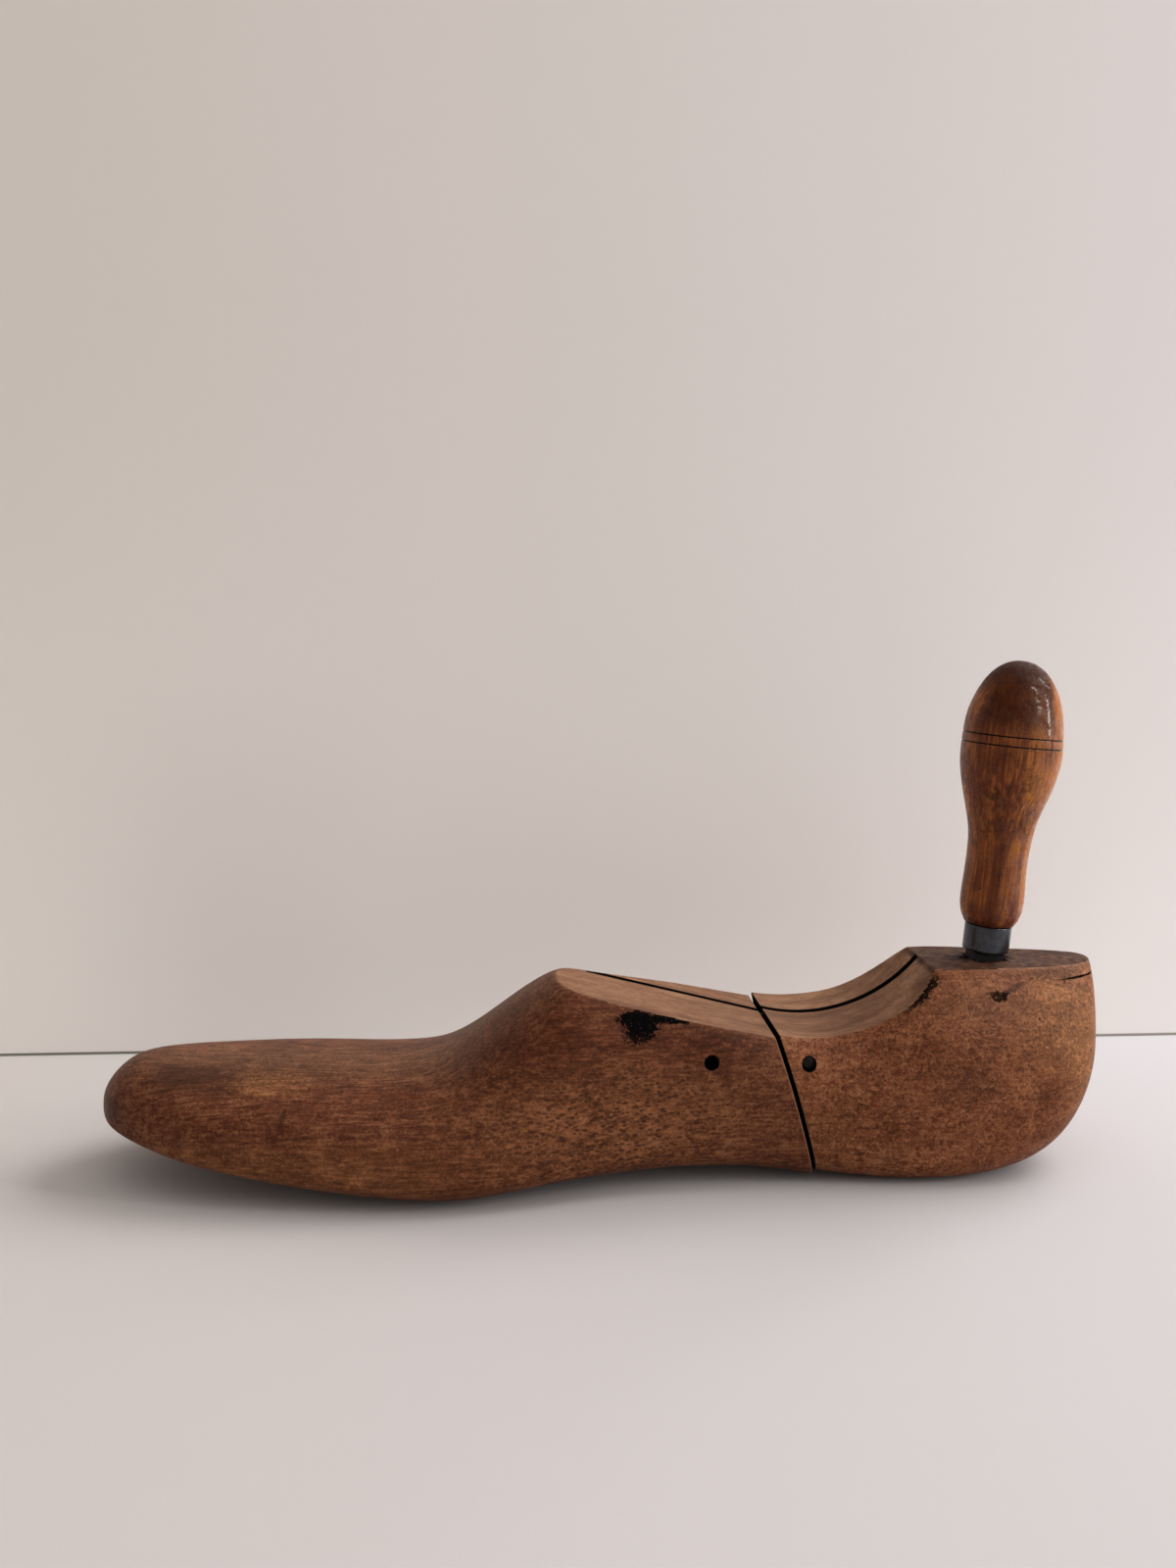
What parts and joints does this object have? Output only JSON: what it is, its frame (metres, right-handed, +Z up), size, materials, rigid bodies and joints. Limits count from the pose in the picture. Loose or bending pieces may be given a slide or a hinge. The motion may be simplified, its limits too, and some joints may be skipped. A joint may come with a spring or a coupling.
{
  "type": "hinged shoe last",
  "caption": "Wooden shoemaker's last of a right foot, sawn into a forepart and a heel part that fold on a steel link, with a turned grip standing in its heel.",
  "frame": {"origin": "centre of the bounding box's base, on the surface the last stands on", "axes": "toe towards -X and heel towards +X, inner side of the foot towards -Y, +Z up"},
  "size_m": [0.305, 0.0892, 0.1535],
  "materials": {
    "last_wood": "waxed, worn",
    "grip_wood": "polished by use",
    "ferrule_steel": "dark, worn",
    "hinge_steel": "dull",
    "tang_iron": "black scale"
  },
  "bodies": {
    "forepart": {"forepart": "last_wood", "front_hinge_pin": "hinge_steel"},
    "link": {"hinge_link": "hinge_steel"},
    "heel": {"heel_part": "last_wood", "rear_hinge_pin": "hinge_steel"},
    "handle": {"handle_grip": "grip_wood", "ferrule": "ferrule_steel", "tang": "tang_iron"}
  },
  "joints": [
    {"name": "link_swing", "type": "hinge", "parent": "forepart", "child": "link", "pos_m": [0.0286, 0.00249, 0.0386], "axis": [0, -1, 0], "range_deg": [0, 60]},
    {"name": "heel_fold", "type": "hinge", "parent": "link", "child": "heel", "pos_m": [0.05774, 0.00249, 0.0367], "axis": [0, -1, 0], "range_deg": [-36, 0]},
    {"name": "handle_lift", "type": "slide", "parent": "heel", "child": "handle", "axis": [0.0906, 0, 0.9959], "range_m": [0, 0.03]}
  ],
  "couplings": [
    {"joint": "heel_fold", "follows": "link_swing", "ratio": -0.6}
  ]
}
